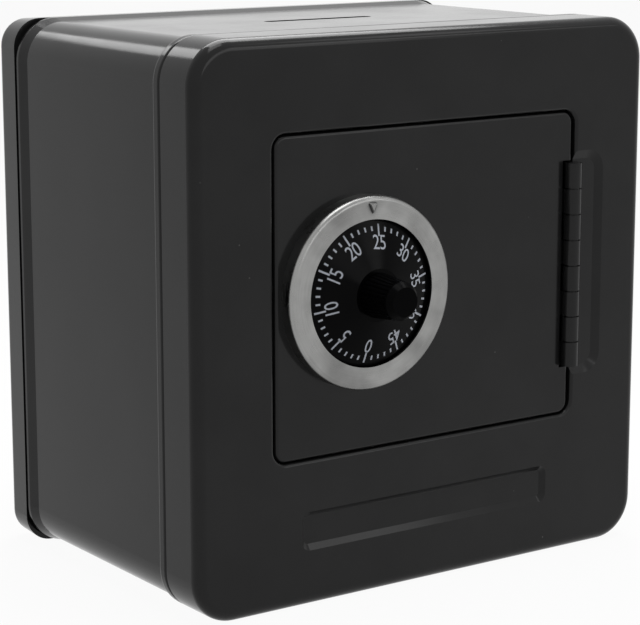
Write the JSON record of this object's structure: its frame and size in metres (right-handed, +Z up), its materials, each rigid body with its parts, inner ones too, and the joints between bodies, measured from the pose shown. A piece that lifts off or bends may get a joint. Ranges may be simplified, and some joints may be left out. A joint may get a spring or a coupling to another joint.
{
  "type": "toy safe coin bank",
  "caption": "Tinplate toy safe coin bank: rounded case with a coin slot in the top, a front door on a curled hinge and a working combination dial with lock discs behind it.",
  "frame": {"origin": "on the floor under the middle of the whole bank, knob included", "axes": "+Z up, +X to the right of someone facing the door, -Y out of the door towards them"},
  "size_m": [0.1192, 0.0968, 0.12],
  "materials": {
    "black_tin": "semi-gloss black lacquer on tinplate",
    "ring_steel": "satin drawn steel",
    "plain_steel": "plain zinc-plated steel",
    "brass": "plain turned brass",
    "black_plastic": "glossy black moulded plastic"
  },
  "bodies": {
    "case": {"body_wrap": "black_tin", "front_cover": "black_tin", "rear_cover": "black_tin", "hinge_pin": "black_tin", "strike": "plain_steel"},
    "door": {"door_panel": "black_tin", "hinge_leaf": "black_tin", "dial_ring": "ring_steel", "lock_plate": "plain_steel", "spindle_bush": "brass", "bush_nut": "plain_steel", "spacer_sleeve": "plain_steel", "spacer_washer": "plain_steel", "retaining_ring": "plain_steel", "spring_washer": "plain_steel"},
    "dial": {"dial_plate": "black_plastic", "knob": "black_plastic", "spindle": "plain_steel", "drive_disc": "plain_steel", "screw_washer": "plain_steel", "drive_screw": "plain_steel"},
    "disc_a": {"lock_disc_a": "plain_steel"},
    "disc_b": {"lock_disc_b": "plain_steel"}
  },
  "joints": [
    {"name": "door_hinge", "type": "hinge", "parent": "case", "child": "door", "pos_m": [0.0388, -0.03455, 0.0658], "axis": [0, 0, 1], "range_deg": [0, 180]},
    {"name": "dial_turn", "type": "hinge", "parent": "door", "child": "dial", "pos_m": [-0.018, -0.0336, 0.066], "axis": [0, 1, 0], "continuous": true},
    {"name": "disc_a_turn", "type": "hinge", "parent": "door", "child": "disc_a", "pos_m": [-0.018, -0.0336, 0.066], "axis": [0, 1, 0], "continuous": true},
    {"name": "disc_b_turn", "type": "hinge", "parent": "door", "child": "disc_b", "pos_m": [-0.018, -0.0336, 0.066], "axis": [0, 1, 0], "continuous": true}
  ],
  "couplings": [
    {"joint": "disc_a_turn", "follows": "dial_turn", "ratio": 1},
    {"joint": "disc_b_turn", "follows": "dial_turn", "ratio": 1}
  ]
}
